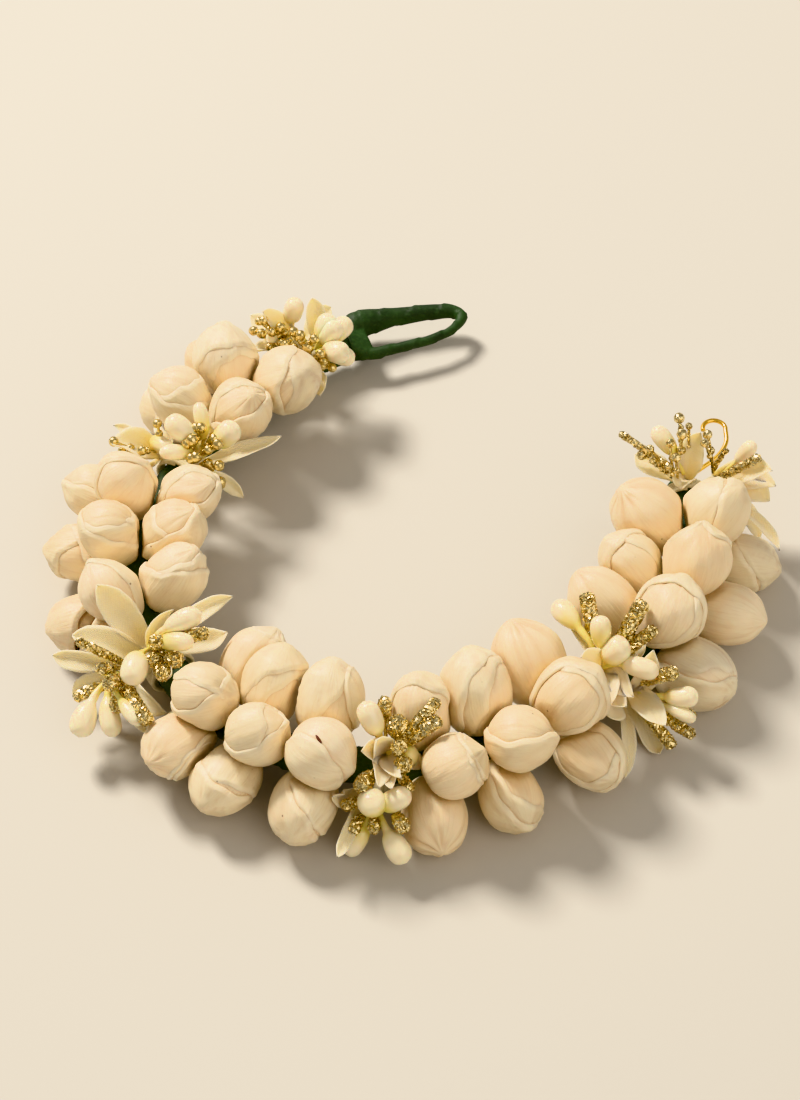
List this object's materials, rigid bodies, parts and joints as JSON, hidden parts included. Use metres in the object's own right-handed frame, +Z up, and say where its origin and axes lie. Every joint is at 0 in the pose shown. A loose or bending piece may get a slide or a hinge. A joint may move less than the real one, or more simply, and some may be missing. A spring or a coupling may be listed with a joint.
{
  "type": "jasmine garland",
  "caption": "C-shaped hair garland of wrapped ivory jasmine buds and flower sprays with gold stamens on a taped wire stem, with an end loop and a small wire hook.",
  "frame": {"origin": "centre of the garland's box at the surface it lies on", "axes": "+Z up from the surface; the C lies in the XY plane with its closed bottom towards -Y, the taped loop at the top left end pointing towards +X and the wire hook at the right end"},
  "size_m": [0.1868, 0.1814, 0.0317],
  "materials": {
    "bud_ivory": "satin ivory shaved sola wood with fine striations and a faint peach tint",
    "petal_white": "creamy woven petals with glossy white pips that turn yellow at the base",
    "stamen_gold": "gold glitter grains",
    "tape_green": "dark green crepe floral tape, matte and slightly waxy",
    "hook_brass": "bright drawn wire"
  },
  "bodies": {
    "root": {"bud_01_inner": "bud_ivory", "bud_01_top": "bud_ivory", "bud_01_outer": "bud_ivory", "bud_02_inner": "bud_ivory", "bud_02_top": "bud_ivory", "bud_02_outer": "bud_ivory", "bud_03_inner": "bud_ivory", "bud_03_top": "bud_ivory", "bud_03_outer": "bud_ivory", "bud_04_inner": "bud_ivory", "bud_04_top": "bud_ivory", "bud_04_outer": "bud_ivory", "bud_05_inner": "bud_ivory", "bud_05_top": "bud_ivory", "bud_05_outer": "bud_ivory", "bud_06_inner": "bud_ivory", "bud_06_top": "bud_ivory", "bud_06_outer": "bud_ivory", "bud_07_inner": "bud_ivory", "bud_07_top": "bud_ivory", "bud_07_outer": "bud_ivory", "bud_08_inner": "bud_ivory", "bud_08_top": "bud_ivory", "bud_08_outer": "bud_ivory", "bud_09_inner": "bud_ivory", "bud_09_top": "bud_ivory", "bud_09_outer": "bud_ivory", "bud_10_inner": "bud_ivory", "bud_10_top": "bud_ivory", "bud_10_outer": "bud_ivory", "bud_11_inner": "bud_ivory", "bud_11_top": "bud_ivory", "bud_11_outer": "bud_ivory", "bud_12_inner": "bud_ivory", "bud_12_top": "bud_ivory", "bud_12_outer": "bud_ivory", "bud_13_inner": "bud_ivory", "bud_13_top": "bud_ivory", "bud_13_outer": "bud_ivory", "bud_14_inner": "bud_ivory", "bud_14_top": "bud_ivory", "bud_14_outer": "bud_ivory", "flowers_1": "petal_white", "flowers_2": "petal_white", "flowers_3": "petal_white", "flowers_4": "petal_white", "flowers_5": "petal_white", "flowers_6": "petal_white", "stamens_1": "stamen_gold", "stamens_2": "stamen_gold", "stamens_3": "stamen_gold", "stamens_4": "stamen_gold", "stamens_5": "stamen_gold", "stamens_6": "stamen_gold", "stem": "tape_green", "end_loop": "tape_green", "hook": "hook_brass"}
  },
  "joints": []
}
